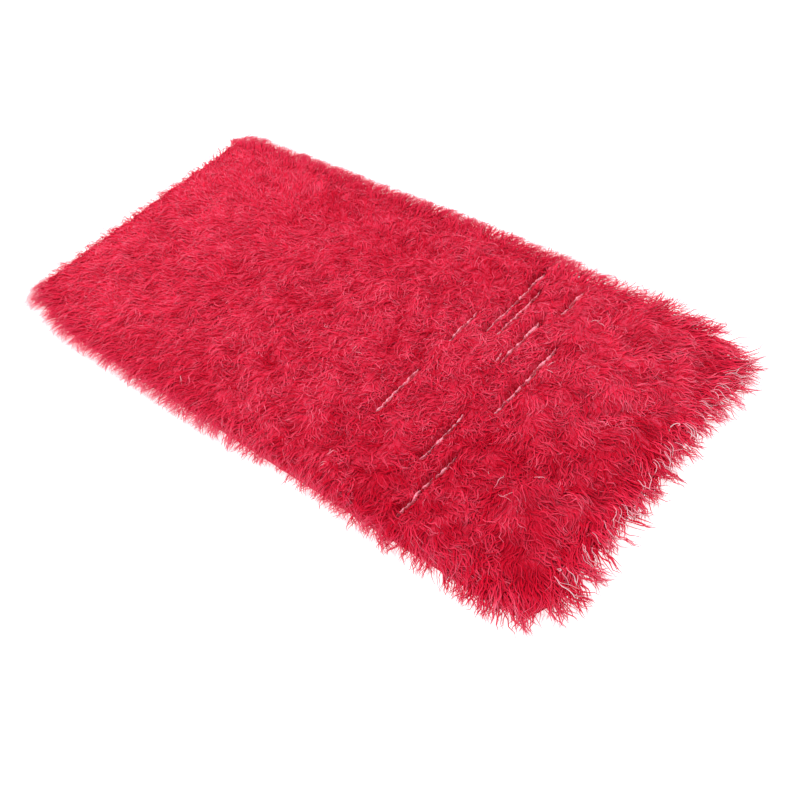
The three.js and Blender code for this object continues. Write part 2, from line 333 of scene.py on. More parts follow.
# %% [markdown]
# The weave's material crosses two wave patterns, one for the warp and one for the weft, and takes
# whichever stands higher at each point, as the yarns do. The same height gives the bump and darkens
# the hollows between the yarns, as painted shade. Dye from the locks has stained the upper face of
# the cloth pink, so two ramps of colour are mixed by height.

# %% The weave's material
YARN_SPACING = 4 * MM


def link(material, output, socket):
    """Joins two sockets of a material."""
    material.node_tree.links.new(output, socket)


def add_node(material, kind, **values):
    """Adds a node to a material and sets its inputs, written with _ for the spaces in their names."""
    node = material.node_tree.nodes.new(kind)
    for name, value in values.items():
        title = name.replace("_", " ")
        if title in node.inputs:
            node.inputs[title].default_value = value
        else:
            setattr(node, name, value)
    return node


def add_waves(material, direction):
    """One set of parallel yarns, as waves that follow each other along a direction."""
    waves = add_node(
        material,
        "ShaderNodeTexWave",
        bands_direction=direction,
        Scale=math.pi / (10 * YARN_SPACING),
        Distortion=1.2,
        Detail=1,
        Detail_Scale=1.5,
    )
    place = material.node_tree.nodes.get("Texture Coordinate")
    place = place or add_node(material, "ShaderNodeTexCoord")
    link(material, place.outputs["Object"], waves.inputs["Vector"])
    return waves.outputs["Fac"]


weave = matt("pale ground weave", (0.8, 0.6, 0.6), 0.95)
weave_shader = weave.node_tree.nodes["Principled BSDF"]
higher = add_node(weave, "ShaderNodeMath", operation="MAXIMUM")
for number, direction in enumerate(("X", "Y")):
    link(weave, add_waves(weave, direction), higher.inputs[number])


def add_ramp(material, factor, *stops):
    """A run of colours, given as places and colours, read at a factor."""
    ramp = add_node(material, "ShaderNodeValToRGB")
    for number, (position, colour) in enumerate(stops):
        while len(ramp.color_ramp.elements) <= number:
            ramp.color_ramp.elements.new(1)
        ramp.color_ramp.elements[number].position = position
        ramp.color_ramp.elements[number].color = (*colour, 1)
    link(material, factor, ramp.inputs["Fac"])
    return ramp.outputs["Color"]


# Both ramps run darker at low weave heights: painted shade in the hollows between the yarns.
plain = add_ramp(weave, higher.outputs[0], (0.35, (0.5, 0.33, 0.3)), (1, (0.86, 0.74, 0.68)))
stained = add_ramp(weave, higher.outputs[0], (0.35, (0.7, 0.16, 0.2)), (1, (0.96, 0.44, 0.48)))
weave_height = add_node(weave, "ShaderNodeSeparateXYZ")
link(weave, weave.node_tree.nodes["Texture Coordinate"].outputs["Object"], weave_height.inputs[0])
upper = add_node(weave, "ShaderNodeMath", operation="GREATER_THAN")
upper.inputs[1].default_value = 1.5 * MM
link(weave, weave_height.outputs["Z"], upper.inputs[0])
stain = add_node(weave, "ShaderNodeMix", data_type="RGBA")
for socket, output in ((0, upper.outputs[0]), (6, plain), (7, stained)):
    link(weave, output, stain.inputs[socket])
link(weave, stain.outputs[2], weave_shader.inputs["Base Color"])
relief = add_node(weave, "ShaderNodeBump", Strength=0.9, Distance=0.0015)
link(weave, higher.outputs[0], relief.inputs["Height"])
link(weave, relief.outputs["Normal"], weave_shader.inputs["Normal"])

# %% The ground cloth
CLOTH_INSET = 14 * MM
cloth_columns = np.linspace(CLOTH_INSET - HALF_LENGTH, HALF_LENGTH - CLOTH_INSET, 66)
x, y = rug_grid(cloth_columns, np.linspace(0, 1, 31), CLOTH_INSET)
flat = np.zeros_like(x)
everywhere = np.ones((x.shape[0] - 1, x.shape[1] - 1), bool)
points, faces = slab(x, y, flat + CLOTH_TOP, flat, everywhere)
ground = mesh_piece("ground_weave", points, faces, weave)
ground.data.shade_flat()
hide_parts("ground_cloth")
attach(ground, "root")
print("ground cloth", tuple(round(side, 3) for side in ground.dimensions))

# %% [markdown]
# ## How the pile is combed
# Locks lie the way they were last combed or trodden. Round the rim they fall outwards. Inside they
# follow broad swirls, and close neighbours cling together in tufts. The broad directions are read
# off the photograph at a few places and blended between them, each place counting less the further
# away it is. Swirls and chance are then added, more in the middle than at the rim.

# %% How the pile is combed
COMBED = [
    # place along, place across, and the direction in degrees, anticlockwise from X
    (-0.66, 0.02, 190),
    (-0.60, -0.27, 218),
    (-0.64, 0.30, 135),
    (-0.40, 0.00, 205),
    (-0.30, -0.31, 240),
    (-0.40, 0.32, 108),
    (0.00, -0.32, 258),
    (0.00, 0.32, 92),
    (-0.10, 0.00, 228),
    (0.20, 0.05, 252),
    (0.32, -0.32, 285),
    (0.30, 0.31, 78),
    (0.32, 0.12, 262),
    (0.46, -0.04, 305),
    (0.57, -0.30, 308),
    (0.66, -0.20, 332),
    (0.67, 0.05, 352),
    (0.55, 0.08, 345),
    (0.64, 0.22, 28),
    (0.52, 0.29, 52),
]
CHANCE = np.random.default_rng(1808)


def combed(x, y):
    """The broad direction of the pile, in radians, and how far its neighbours disagree about it."""
    total = np.zeros(x.shape, complex)
    weights = np.zeros(x.shape)
    for place_x, place_y, degrees in COMBED:
        weight = 1 / ((x - place_x) ** 2 + (y - place_y) ** 2 + 0.004) ** 1.5
        total += weight * np.exp(1j * math.radians(degrees))
        weights += weight
    swirl = 0.7 * unevenness(x, y, 37 * MM) + 0.3 * unevenness(y, -x, 15 * MM)
    calm = 0.3 + 0.7 * smoothstep(inset_of(x, y), 10 * MM, 90 * MM)
    calm = calm * (0.7 + 0.5 * smoothstep(x, -0.2, 0.4))
    return np.angle(total) + swirl * calm, 1 - abs(total) / weights


def scattered(spacing, low_x, high_x, low_inset, high_inset):
    """Places spread over a stretch of the rug by a shaken grid, within two insets from the rim."""
    along = np.arange(low_x, high_x, spacing)
    across = np.arange(-HALF_WIDTH - SWELL, HALF_WIDTH + SWELL, spacing)
    x, y = (a.ravel() for a in np.meshgrid(along, across))
    x = x + spacing * (CHANCE.random(x.size) - 0.5)
    y = y + spacing * (CHANCE.random(y.size) - 0.5)
    inset = inset_of(x, y)
    kept = (inset > low_inset) & (inset < high_inset) & (x > low_x) & (x <= high_x)
    return x[kept], y[kept]


# %% [markdown]
# ## How light the wool is
# The left-hand end is painted paler and pinker than the rest, as painted light, and the near
# right-hand corner is painted deepest, as painted shade. The wool is also painted paler round the
# rim, painted light against the shade that falls there, and broad patches of painted light and shade
# lie over the rest. One number from 0, deep, to 1, pale, says so for every lock and for the bed
# under them.

# %% How light the wool is
def painted_paleness(x, y):
    """How pale the wool is painted at each place, as painted light and shade, mostly between 0 and 1."""
    # Painted light at the left-hand end.
    painted_light_left = 0.32 * smoothstep(-x, 0.1, 0.62)
    # Painted shade towards the near right-hand corner.
    deep = 0.28 * smoothstep(x, 0.05, 0.4) * (1 - 1.5 * smoothstep(y, -0.2, 0.2))
    # Painted light round the rim, against the shade that falls there.
    rim = 0.1 * (1 - smoothstep(inset_of(x, y), 0, 35 * MM))
    # Patches of painted light and shade.
    broad = 0.12 * unevenness(x, y, 60 * MM) + 0.18 * unevenness(y, x, 21 * MM)
    return 0.53 + painted_light_left - deep + rim + broad


# %% [markdown]
# ## The bed of the pile
# Between the locks that can be seen lie many more that can't. They are one woolly bed, a closed slab
# whose top follows the height function a little lower down, so that the loose locks lie on it. The
# bed is painted partly in the darker root reds, as painted shade of the locks that lie in shadow. It
# has real slits where the pile parts: the grid has columns at the edges of each slit, and the cells
# between them are left out.
#
# What shows of the bed between the locks has to look combed as well. Noise alone looks like grains
# of sand. The bed's points store which way they are combed, and the material reads the same noise
# at several places along that way and takes the average. Grains then smear into strands, as wet
# paint does under a brush.

# %% The bed's wool
STRAND_SCALE = 420
SMEAR_STEPS = 6
SMEAR_LENGTH = 13 * MM


def add_maths(material, operation, *values):
    """A Math node with numbers or other nodes' outputs for its inputs."""
    node = add_node(material, "ShaderNodeMath", operation=operation)
    for number, value in enumerate(values):
        if isinstance(value, bpy.types.NodeSocket):
            link(material, value, node.inputs[number])
        else:
            node.inputs[number].default_value = value
    return node.outputs[0]


def two_reds(material, deep, pale, along, tone):
    """Mixes a deep and a pale run of reds, each from root to tip, by how pale the wool is."""
    mix = add_node(material, "ShaderNodeMix", data_type="RGBA")
    link(material, tone, mix.inputs["Factor"])
    for socket, (root, middle, tip) in ((6, deep), (7, pale)):
        link(material, add_ramp(material, along, (0, root), (0.5, middle), (1, tip)), mix.inputs[socket])
    return mix.outputs[2]


# Both runs go from root to tip: their darker roots are painted shade, their paler, pinker tips painted
# light.
DEEP_REDS = ((0.5, 0.003, 0.014), (0.62, 0.005, 0.024), (0.7, 0.011, 0.04))
PALE_REDS = ((0.82, 0.006, 0.03), (0.98, 0.036, 0.1), (0.99, 0.115, 0.21))
bed_wool = matt("crimson wool bed", (0.5, 0.012, 0.035), 0.9)
bed_shader = bed_wool.node_tree.nodes["Principled BSDF"]
bed_place = add_node(bed_wool, "ShaderNodeTexCoord").outputs["Object"]
combing = add_node(bed_wool, "ShaderNodeAttribute", attribute_name="combing").outputs["Vector"]
smeared = 0.0
for step in np.linspace(-0.5, 0.5, SMEAR_STEPS):
    shift = add_node(bed_wool, "ShaderNodeVectorMath", operation="MULTIPLY_ADD")
    shift.inputs[1].default_value = (step * SMEAR_LENGTH,) * 3
    link(bed_wool, combing, shift.inputs[0])
    link(bed_wool, bed_place, shift.inputs[2])
    grains = add_node(bed_wool, "ShaderNodeTexNoise", Scale=STRAND_SCALE, Detail=1)
    link(bed_wool, shift.outputs[0], grains.inputs["Vector"])
    smeared = add_maths(bed_wool, "ADD", smeared, grains.outputs["Fac"])
strands = add_maths(bed_wool, "MULTIPLY_ADD", smeared, 6 / SMEAR_STEPS, -2.35)
bed_tone = add_node(bed_wool, "ShaderNodeAttribute", attribute_name="tone").outputs["Fac"]
# Where the smeared noise is low, the bed takes the darker root reds: painted shade between its strands.
bed_reds = two_reds(bed_wool, DEEP_REDS, PALE_REDS, strands, bed_tone)
link(bed_wool, bed_reds, bed_shader.inputs["Base Color"])
strand_bump = add_node(bed_wool, "ShaderNodeBump", Strength=0.9, Distance=0.003)
link(bed_wool, strands, strand_bump.inputs["Height"])
link(bed_wool, strand_bump.outputs["Normal"], bed_shader.inputs["Normal"])

# %% The bed of the pile
SLIT_SHARE = 0.85  # how much of each parting the wool leaves bare
SUNK = 1.4 * MM  # how far the bed's top lies under the pile's own height
RAGGED_END = 6 * MM  # how far the bed's edge wanders at the left-hand end
DEEPER = 0.03  # how much deeper the bed's tone gets towards the right-hand end


def pinched(x, y):
    """Moves points beside a parting towards it, here more and there less, so that its width wanders."""
    for row, start, end, width in PARTINGS:
        off = x - row
        share = np.clip(1 - abs(off) / (9 * MM), 0, 1) * (0.5 + 0.5 * unevenness(y, y + row, 8 * MM))
        x = x - np.sign(off) * share * 0.35 * width * ((y > start - 10 * MM) & (y < end + 10 * MM))
    return x


def bed_columns():
    """Even columns along the rug, with closer ones beside each parting."""
    even = np.linspace(-HALF_LENGTH, HALF_LENGTH + SWELL, 105)
    close = []
    for row, _, _, width in PARTINGS:
        edge = SLIT_SHARE * width / 2
        close += [row + side * (edge + step) for side in (-1, 1) for step in (0, 3 * MM, 7 * MM)]
    close = np.array(sorted(set(close)))
    far = np.array([column for column in even if np.min(abs(close - column)) > 3 * MM])
    columns = np.sort(np.concatenate([far, close]))
    return columns[np.concatenate([[True], np.diff(columns) > 0.2 * MM])]


x, y = rug_grid(bed_columns(), np.linspace(0, 1, 68), -SWELL)
middle_x = (x[:-1, :-1] + x[1:, 1:]) / 2
middle_y = (y[:-1, :-1] + y[1:, 1:]) / 2
kept = np.ones(middle_x.shape, bool)
for row, start, end, width in PARTINGS:
    kept &= ~((abs(middle_x - row) < SLIT_SHARE * width / 2) & (middle_y > start) & (middle_y < end))
left = 1 - smoothstep(x, -HALF_LENGTH, 40 * MM - HALF_LENGTH)
x = pinched(x, y) + stray(y) + RAGGED_END * unevenness(y, y, 11 * MM) * left
over_cloth = inset_of(x, y) > CLOTH_INSET - 2 * MM
bottom = np.where(over_cloth, CLOTH_TOP + 0.3 * MM, 0.2 * MM)
fine = 1.2 * MM * unevenness(x, y, 4.5 * MM)
top = np.maximum(pile_height(x, y) - SUNK + fine, bottom + 0.6 * MM)
points, faces = slab(x, y, top, bottom, kept)
bed = mesh_piece("pile_bed", points, faces, bed_wool)
facing = combed(points[:, 0], points[:, 1])[0]
combing = np.stack([np.cos(facing), np.sin(facing), np.zeros_like(facing)], axis=-1)
bed.data.attributes.new("combing", "FLOAT_VECTOR", "POINT").data.foreach_set("vector", combing.ravel())
# The bed takes the same painted light and shade, its painted shade a little deeper towards the
# right-hand end.
tone = painted_paleness(points[:, 0], points[:, 1]) - DEEPER * smoothstep(points[:, 0], -0.1, 0.35)
bed.data.attributes.new("tone", "FLOAT", "POINT").data.foreach_set("value", tone)
tidy(bed)
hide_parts("shag_pile")
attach(bed, "root")
print("bed of the pile:", len(bed.data.polygons), "faces,", int((~kept).sum()), "cells left out")

# %% [markdown]
# ## The rows that show
# In each parting the foot of a row of locks shows, where the wool was laid round the warp. It
# stands up from the cloth as a lumpy pale ridge, pinker than the cloth from the dye, and its width
# comes and goes along the row.

# %% The rows that show
ROW_RISE = 7 * MM
row_yarn = matt("foot of a row", (0.95, 0.5, 0.55))
row_place = add_node(row_yarn, "ShaderNodeTexCoord").outputs["Object"]
knots = add_node(row_yarn, "ShaderNodeTexNoise", Scale=260, Detail=2)
link(row_yarn, row_place, knots.inputs["Vector"])
knot_stops = ((0.38, (0.9, 0.13, 0.22)), (0.6, (0.99, 0.44, 0.53)))
knot_colours = add_ramp(row_yarn, knots.outputs["Fac"], *knot_stops)
row_shader = row_yarn.node_tree.nodes["Principled BSDF"]
link(row_yarn, knot_colours, row_shader.inputs["Base Color"])
knot_bump = add_node(row_yarn, "ShaderNodeBump", Strength=0.8, Distance=0.002)
link(row_yarn, knots.outputs["Fac"], knot_bump.inputs["Height"])
link(row_yarn, knot_bump.outputs["Normal"], row_shader.inputs["Normal"])

points, faces = [], []
for row, start, end, width in PARTINGS:
    y = np.arange(start - 2 * MM, end + 2 * MM, 2.2 * MM)[:, None]
    across = np.linspace(-1, 1, 6)[None, :]
    lumpy = unevenness(y, y + row, 5.5 * MM)
    slow = smoothstep(unevenness(y + 3 * row, y - row, 12 * MM), -0.5, 0.2)
    fading = smoothstep(np.minimum(y - start, end - y), -3 * MM, 12 * MM)
    half = (width / 2 + 1.2 * MM) * (0.68 + 0.55 * lumpy) * (0.3 + 0.7 * fading) * (0.12 + 0.88 * slow)
    x = row + stray(y) + 1.4 * MM * unevenness(y - row, y, 6 * MM) + across * half
    top = CLOTH_TOP + 1.2 * MM + (ROW_RISE + 1.2 * MM * lumpy) * np.sqrt(1.02 - across**2)
    kept = np.ones((x.shape[0] - 1, x.shape[1] - 1), bool)
    more_points, more_faces = slab(x, y + 0 * x, top, 0 * top + CLOTH_TOP + 0.35 * MM, kept)
    faces += [[index + len(points) for index in face] for face in more_faces]
    points += more_points.tolist()
rows_shown = mesh_piece("row_feet", points, faces, row_yarn)
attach(rows_shown, "root")
print("row feet:", len(rows_shown.data.polygons), "faces")

# %% [markdown]
# ## Drawn together into tufts
# A tuft forms because locks that grew close together are drawn to one tip. Each lock is given the
# nearest of many scattered tuft places, and its tip is later pulled towards the tip of the lock
# that would grow there. The locks of a tuft also turn and wave together, as wool that was crimped
# as one lock of fleece does.

# %% Drawn together into tufts
def tufts(x, y, spacing):
    """The way from each place to the middle of its tuft, and two numbers that the tuft shares."""
    cell_x = np.floor(x / spacing).astype(int)
    cell_y = np.floor(y / spacing).astype(int)
    best = np.full(x.shape, 1e9)
    pull = np.zeros((x.size, 2))
    shared = np.zeros((x.size, 2))
    for step_x in (-1, 0, 1):
        for step_y in (-1, 0, 1):
            column = cell_x + step_x
            row = cell_y + step_y
            shaken_x = np.modf(abs(np.sin(column * 127.1 + row * 311.7) * 4375.85))[0]
            shaken_y = np.modf(abs(np.sin(column * 269.5 + row * 183.3) * 4375.85))[0]
            middle = np.stack([column + shaken_x, row + shaken_y], axis=-1) * spacing
            offset = middle - np.stack([x, y], axis=-1)
            away = np.hypot(*offset.T)
            closer = away < best
            best = np.where(closer, away, best)
            pull[closer] = offset[closer]
            numbers = [np.modf(shaken_x * 7.3)[0], np.modf(shaken_y * 5.9)[0]]
            shared[closer] = np.stack(numbers, axis=-1)[closer]
    return pull, shared


# %% [markdown]
# ## Keeping the partings open
# A parting stays open because hardly any lock lies across it. The path of each lock is worked out
# here in the same way as the nodes will draw it. A lock that would cross a parting is made shorter
# until its tip stops at the edge, which leaves the edge ragged. If that isn't enough, the lock is
# turned to its mirror image, then laid along the row, and at last left out. A few stray ones are
# let through.

# %% Keeping the partings open
def path_of(lock, share):
    """Where the locks are at a share of their length, as the nodes will draw them."""
    heading = lock["heading"] + lock["bend"] * share
    forward = share * lock["reach"]
    sideways = np.sin(lock["turning"] * forward + lock["phase"]) * lock["waving"] * share**0.6
    x = lock["x"] + np.cos(heading) * forward - np.sin(heading) * sideways + lock["pull_x"] * share**2
    y = lock["y"] + np.sin(heading) * forward + np.cos(heading) * sideways + lock["pull_y"] * share**2
    return x, y


def crossing(lock):
    """Which locks lie across the bare strip of a parting."""
    crosses = np.zeros(lock["x"].shape, bool)
    for parting in PARTINGS:
        for share in np.linspace(0, 1, 9):
            x, y = path_of(lock, share)
            crosses |= off_parting(x, y, (*parting[:3], parting[3] / 2))[0] <= 0
    return crosses


def off_the_partings(lock):
    """Turns or leaves out the locks that would lie across a parting."""
    for shorter in (0.7, 0.65, 0.65):
        lock["reach"] = np.where(crossing(lock), shorter, 1) * lock["reach"]
    wrong = crossing(lock)
    lock["heading"] = np.where(wrong, math.pi - lock["heading"], lock["heading"])
    lock["bend"] = np.where(wrong, -lock["bend"], lock["bend"])
    lock["pull_x"] = np.where(wrong, 0, lock["pull_x"])
    wrong = crossing(lock)
    lock["heading"] = np.where(wrong, np.sign(np.sin(lock["heading"])) * math.pi / 2, lock["heading"])
    lock["bend"] = np.where(wrong, 0, lock["bend"])
    lock["waving"] = np.where(wrong, lock["waving"] / 3, lock["waving"])
    fine = ~crossing(lock) | (CHANCE.random(wrong.size) < 0.2)
    return {name: values[fine] for name, values in lock.items()}


# %% [markdown]
# ## One lock, thousands of times
# A lock of wool is a thin tapering rope with a few waves in it. It leaves the pile, rises a little,
# lies along it and sinks again. One set of geometry nodes makes all of them. It puts a short line
# on each root, makes the lines real, and moves each of their points to where a formula says. A ray
# shot straight down finds how high the pile is there, so a lock follows every lump and drops to the
# floor past the rim. The line then becomes a three-sided tube that narrows to its tip.
#
# Formulas are hard to read as dozens of Math nodes, so a small class lets them be written as
# formulas.

# %% Formulas as nodes
class Field:
    """A number that a node gives, on which sums can be done by adding more nodes."""

    def __init__(self, tree, socket):
        self.tree = tree
        self.socket = socket

    def sum_with(self, operation, *others):
        node = self.tree.nodes.new("ShaderNodeMath")
        node.operation = operation
        for number, value in enumerate((self, *others)):
            put(self.tree, value, node.inputs[number])
        return Field(self.tree, node.outputs[0])

    def __add__(self, other):
        return self.sum_with("ADD", other)

    def __sub__(self, other):
        return self.sum_with("SUBTRACT", other)

    def __mul__(self, other):
        return self.sum_with("MULTIPLY", other)

    def __pow__(self, other):
        return self.sum_with("POWER", other)

    def minus_from(self, number):
        return (self * -1) + number


def put(tree, value, socket):
    """Gives a socket a number, or the number that a node gives."""
    if isinstance(value, Field):
        tree.links.new(value.socket, socket)
    elif isinstance(value, bpy.types.NodeSocket):
        tree.links.new(value, socket)
    else:
        socket.default_value = value


def place(tree, kind, inputs=(), **settings):
    """Adds a node, with its settings and with what goes into its sockets."""
    node = tree.nodes.new(kind)
    for name, value in settings.items():
        setattr(node, name, value)
    for name, value in dict(inputs).items():
        put(tree, value, node.inputs[name])
    return node


def named(tree, name, kind="FLOAT"):
    """A stored attribute, read by its name."""
    node = place(tree, "GeometryNodeInputNamedAttribute", {"Name": name}, data_type=kind)
    return node.outputs["Attribute"]


# %% The nodes of a lock
LOCK_INPUTS = [
    # name, kind of socket and value to start with
    ("Geometry", "NodeSocketGeometry", None),
    ("Bed", "NodeSocketObject", None),
    ("Steps", "NodeSocketInt", 8),
    ("Flatness", "NodeSocketFloat", 0.6),
    ("Lift", "NodeSocketFloat", 5 * MM),
    ("Droop", "NodeSocketFloat", 1),
    ("Seed", "NodeSocketInt", 1),
    ("Material", "NodeSocketMaterial", None),
]
RAY_FROM = 0.2  # how high the rays start
RAY_LENGTH = 0.3
LOWEST = 1.2 * MM  # how near the floor the middle of a lock comes


def lock_nodes():
    """The tree that grows a lock from each point that it is given."""
    tree = bpy.data.node_groups.new("locks of wool", "GeometryNodeTree")
    for name, kind, value in LOCK_INPUTS:
        socket = tree.interface.new_socket(name, in_out="INPUT", socket_type=kind)
        if value is not None:
            socket.default_value = value
    tree.interface.new_socket("Geometry", in_out="OUTPUT", socket_type="NodeSocketGeometry")
    given = tree.nodes.new("NodeGroupInput").outputs

    def chance(low, high, seed):
        seeds = Field(tree, given["Seed"]) + seed
        node = place(tree, "FunctionNodeRandomValue", {"Seed": seeds}, data_type="FLOAT")
        node.inputs[2].default_value = low
        node.inputs[3].default_value = high
        return Field(tree, node.outputs[1])

    def keep(geometry, name, value, kind="FLOAT"):
        node = place(
            tree,
            "GeometryNodeStoreNamedAttribute",
            {"Geometry": geometry, "Name": name, "Value": value},
            data_type=kind,
            domain="POINT",
        )
        return node.outputs["Geometry"]

    position = place(tree, "GeometryNodeInputPosition").outputs[0]
    roots = keep(given["Geometry"], "root", position, "FLOAT_VECTOR")
    roots = keep(roots, "rise", chance(0.15, 1, 3))
    roots = keep(roots, "droop", chance(0.35, 1.1, 7) * Field(tree, given["Droop"]))

    line = place(tree, "GeometryNodeCurvePrimitiveLine").outputs["Curve"]
    line = place(tree, "GeometryNodeResampleCurve", {"Curve": line, "Count": given["Steps"]})
    planted = {"Points": roots, "Instance": line.outputs["Curve"]}
    lines = place(tree, "GeometryNodeInstanceOnPoints", planted).outputs["Instances"]
    lines = place(tree, "GeometryNodeRealizeInstances", {"Geometry": lines}).outputs["Geometry"]
    lines = keep(lines, "along", place(tree, "GeometryNodeSplineParameter").outputs["Factor"])

    def field(name):
        return Field(tree, named(tree, name))

    along = field("along")
    root = place(tree, "ShaderNodeSeparateXYZ", {"Vector": named(tree, "root", "FLOAT_VECTOR")}).outputs
    heading = field("heading") + field("bend") * along
    forward = along * field("reach")
    turns = forward * field("turning") + field("phase")
    size = field("waving") * (along**0.6)
    sideways = turns.sum_with("SINE") * size
    cosine = heading.sum_with("COSINE")
    sine = heading.sum_with("SINE")
    pulled = along**2
    x = Field(tree, root["X"]) + cosine * forward - sine * sideways + field("pull_x") * pulled
    y = Field(tree, root["Y"]) + sine * forward + cosine * sideways + field("pull_y") * pulled

    above = place(tree, "ShaderNodeCombineXYZ", {"X": x, "Y": y, "Z": RAY_FROM}).outputs[0]
    bed_info = place(
        tree, "GeometryNodeObjectInfo", {"Object": given["Bed"]}, transform_space="ORIGINAL"
    )
    ray = place(
        tree,
        "GeometryNodeRaycast",
        {
            "Target Geometry": bed_info.outputs["Geometry"],
            "Source Position": above,
            "Ray Direction": (0, 0, -1),
            "Ray Length": RAY_LENGTH,
        },
    )
    hit = place(tree, "ShaderNodeSeparateXYZ", {"Vector": ray.outputs["Hit Position"]}).outputs["Z"]
    surface = Field(tree, ray.outputs["Is Hit"]) * Field(tree, hit)
    sagging = (along**1.3 * field("droop")).minus_from(1) * field("held")
    surface = surface.sum_with("MAXIMUM", sagging)
    arch = (along * math.pi).sum_with("SINE") * Field(tree, given["Lift"]) * field("rise")
    ripple = (turns.sum_with("COSINE") + 1) * size * 0.5
    rooted = (along.minus_from(1) ** 3) * (-4 * MM)
    z = (surface + arch + ripple + rooted).sum_with("MAXIMUM", LOWEST)
    target = place(tree, "ShaderNodeCombineXYZ", {"X": x, "Y": y, "Z": z}).outputs[0]
    lines = place(tree, "GeometryNodeSetPosition", {"Geometry": lines, "Position": target})

    taper = (along**4.5).minus_from(1.03) * field("girth")
    lines = lines.outputs["Geometry"]
    lines = place(tree, "GeometryNodeSetCurveNormal", {"Curve": lines}, mode="Z_UP").outputs["Curve"]
    ring = place(tree, "GeometryNodeCurvePrimitiveCircle", {"Resolution": 3, "Radius": 1.0})
    turned = {"Geometry": ring.outputs["Curve"], "Rotation": (0, 0, math.radians(90))}
    ring = place(tree, "GeometryNodeTransform", turned).outputs["Geometry"]
    flatness = {"X": 1.0, "Y": given["Flatness"], "Z": 1.0}
    flatness = place(tree, "ShaderNodeCombineXYZ", flatness).outputs[0]
    ring = place(tree, "GeometryNodeTransform", {"Geometry": ring, "Scale": flatness})
    sides = place(tree, "ShaderNodeSeparateXYZ", {"Vector": position}).outputs
    ring = keep(ring.outputs["Geometry"], "across", Field(tree, sides["X"]))
    tube = place(
        tree,
        "GeometryNodeCurveToMesh",
        {"Curve": lines, "Profile Curve": ring, "Scale": taper, "Fill Caps": True},
    ).outputs["Mesh"]
    tube = place(tree, "GeometryNodeSetShadeSmooth", {"Geometry": tube}).outputs["Geometry"]
    tube = place(
        tree, "GeometryNodeSetMaterial", {"Geometry": tube, "Material": given["Material"]}
    ).outputs["Geometry"]
    place(tree, "NodeGroupOutput", {"Geometry": tube})
    return tree


LOCKS = lock_nodes()
print("the lock is made by", len(LOCKS.nodes), "nodes")

# %% [markdown]
# ## The wool
# Dyed wool is never one colour. Each lock took the dye a little differently. Its roots are painted
# darker, which is painted shade of the pile over them, and its tips paler and pinker, which is
# painted light on their thin ends. A lock is also made of many fibres, which show as fine streaks
# along it. The tubes carry three numbers for this: the lock's tone, how far along it a point is, and
# how far across it. Noise that changes fast across and slowly along gives the streaks, as a shallow
# relief and as pinker streaks, which are partly fibres and partly painted highlights. Red light
# passes from fibre to fibre nearly unspent, which keeps the shadows between them warm. So the red of
# every colour is high, and the pink streaks differ from it only in how much green and blue they give
# back.

# %% The wool
PINK_FIBRES_AND_PAINTED_HIGHLIGHTS = (0.98, 0.36, 0.46)


def wool(name, deep, pale, pinkness=2.8):
    """A material for locks, from two runs of reds and how far its streaks, fibres and painted
    highlights, differ in pinkness.
    """
    material = matt(name, pale[1], 0.62)
    shader = material.node_tree.nodes["Principled BSDF"]
    shader.inputs["Sheen Weight"].default_value = 0.03
    shader.inputs["Sheen Roughness"].default_value = 0.45
    shader.inputs["Sheen Tint"].default_value = (1, 0.3, 0.4, 1)
    along, across, tone = (
        add_node(material, "ShaderNodeAttribute", attribute_name=title).outputs["Fac"]
        for title in ("along", "across", "tone")
    )
    skin = add_node(material, "ShaderNodeCombineXYZ")
    link(material, add_maths(material, "MULTIPLY", across, 2.6), skin.inputs["X"])
    link(material, add_maths(material, "MULTIPLY", along, 3.5), skin.inputs["Y"])
    link(material, add_maths(material, "MULTIPLY", tone, 300), skin.inputs["Z"])
    fibres = add_node(material, "ShaderNodeTexNoise", Scale=1, Detail=2)
    link(material, skin.outputs[0], fibres.inputs["Vector"])
    streaked = add_node(material, "ShaderNodeMix", data_type="RGBA")
    # Pink streaks, partly fibres and partly painted highlights, strongest towards the tips of pale
    # locks.
    pinker = add_maths(material, "MULTIPLY_ADD", fibres.outputs["Fac"], 2 * pinkness, -pinkness)
    pinker = add_maths(material, "MULTIPLY", pinker, add_maths(material, "MULTIPLY", along, tone))
    link(material, add_maths(material, "MULTIPLY_ADD", pinker, 1.5, -0.22), streaked.inputs["Factor"])
    link(material, two_reds(material, deep, pale, along, tone), streaked.inputs[6])
    streaked.inputs[7].default_value = (*PINK_FIBRES_AND_PAINTED_HIGHLIGHTS, 1)
    link(material, streaked.outputs[2], shader.inputs["Base Color"])
    bump = add_node(material, "ShaderNodeBump", Strength=0.4, Distance=0.001)
    link(material, fibres.outputs["Fac"], bump.inputs["Height"])
    link(material, bump.outputs["Normal"], shader.inputs["Normal"])
    return material


CRIMSON = wool("crimson wool", DEEP_REDS, PALE_REDS)
# The rim's reds: roots less dark than the pile's, and tips painted paler and pinker, which is painted
# light on the thin ends.
DEEP_REDS_WITH_PAINTED_LIGHT_TIPS = (DEEP_REDS[1], (0.75, 0.008, 0.036), (0.88, 0.05, 0.12))
PALE_REDS_WITH_PAINTED_LIGHT_TIPS = (PALE_REDS[1], PALE_REDS[1], (0.99, 0.3, 0.42))
CRIMSON_WITH_PAINTED_LIGHT_TIPS = wool("crimson wool with painted light at the tips", DEEP_REDS_WITH_PAINTED_LIGHT_TIPS, PALE_REDS_WITH_PAINTED_LIGHT_TIPS)
# The hairs' tips are painted pinker as well, painted light on their thin ends.
HAZE_REDS = ((0.88, 0.012, 0.05), (0.95, 0.045, 0.12), (0.99, 0.34, 0.45))
HAZE = wool("crimson wool hairs", HAZE_REDS, HAZE_REDS, 0.3)
ROSY = ((0.95, 0.15, 0.24), (0.98, 0.36, 0.45), (0.99, 0.55, 0.6))
STAINED = wool("undyed wool with a stain", ROSY, ROSY, 0.3)
